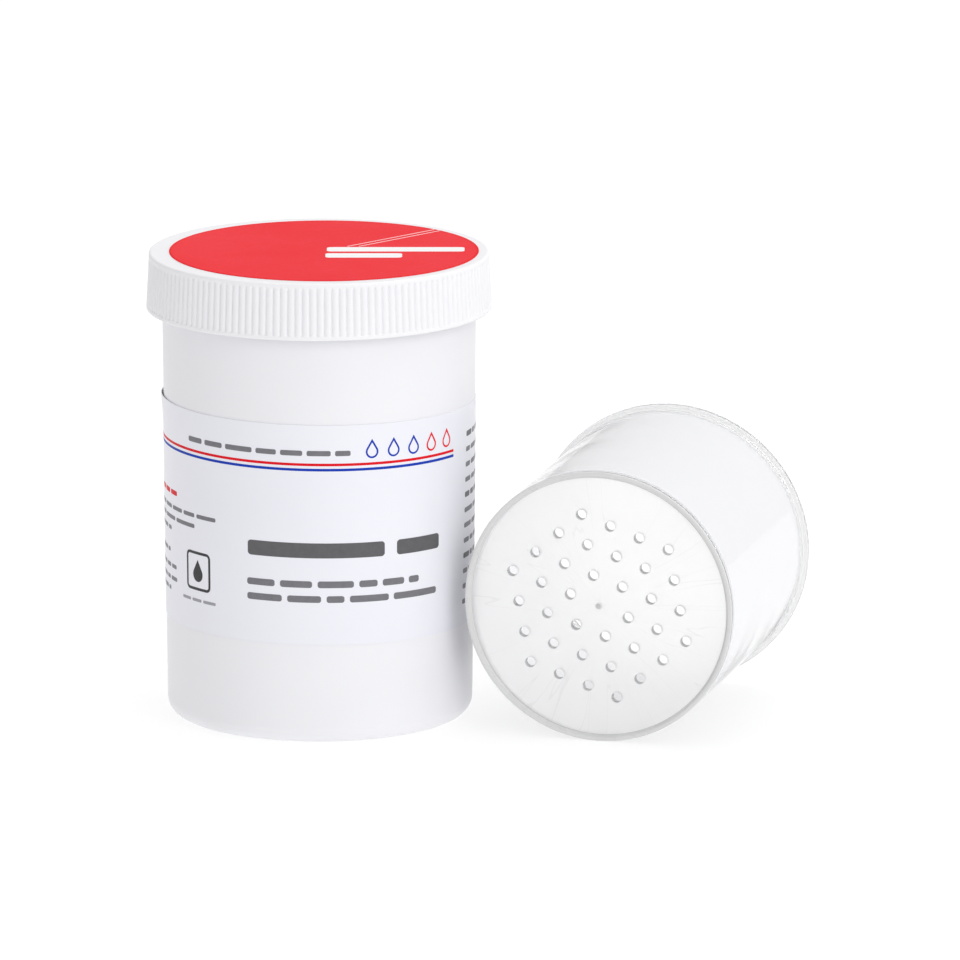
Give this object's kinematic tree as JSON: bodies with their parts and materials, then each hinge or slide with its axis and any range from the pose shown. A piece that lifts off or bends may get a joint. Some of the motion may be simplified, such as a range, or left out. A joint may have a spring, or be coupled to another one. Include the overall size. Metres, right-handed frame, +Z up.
{
  "type": "hearing aid drying jar",
  "caption": "Round white plastic drying jar with a ribbed screw cap and labels, a drying capsule inside, and a clear perforated insert cup lying beside it.",
  "frame": {"origin": "centre of the jar's foot ring, on the surface the jar stands on", "axes": "+Z up along the jar's axis, -Y towards the viewer and the front of the label, +X to the viewer's right, where the insert cup lies"},
  "size_m": [0.1748, 0.0918, 0.1238],
  "materials": {
    "jar_plastic": "satin moulded polypropylene",
    "label_paper": "semi-gloss coated label stock",
    "cap_plastic": "satin moulded polypropylene",
    "red_label": "semi-gloss coated label stock",
    "liner_foam": "foamed polyethylene",
    "clear_plastic": "clear polished polystyrene",
    "capsule_plastic": "moulded polypropylene",
    "bead_gel": "translucent drying beads",
    "membrane_paper": "breathable spun-bonded sheet"
  },
  "bodies": {
    "jar": {"jar_body": "jar_plastic", "wrap_label": "label_paper"},
    "liner": {"cap_liner": "liner_foam"},
    "cap": {"screw_cap": "cap_plastic", "cap_label": "red_label"},
    "insert": {"insert_cup": "clear_plastic"},
    "capsule": {"desiccant_tub": "capsule_plastic", "desiccant_beads": "bead_gel", "desiccant_membrane": "membrane_paper"}
  },
  "joints": [
    {"name": "cap_rise", "type": "slide", "parent": "jar", "child": "liner", "axis": [0, 0, 1], "range_m": [0, 0.0201]},
    {"name": "cap_turn", "type": "hinge", "parent": "liner", "child": "cap", "pos_m": [0, 0, 0.115], "axis": [0, 0, 1], "range_deg": [0, 1440]},
    {"name": "insert_tip", "type": "hinge", "parent": "jar", "child": "insert", "pos_m": [0.07312, -0.03564, 0], "axis": [0.9613, -0.2756, 0], "range_deg": [0, 88.74]},
    {"name": "capsule_lift", "type": "slide", "parent": "jar", "child": "capsule", "axis": [0, 0, 1], "range_m": [0, 0.1]}
  ],
  "couplings": [
    {"joint": "cap_rise", "follows": "cap_turn", "m_per_rad": 0.00079577}
  ]
}
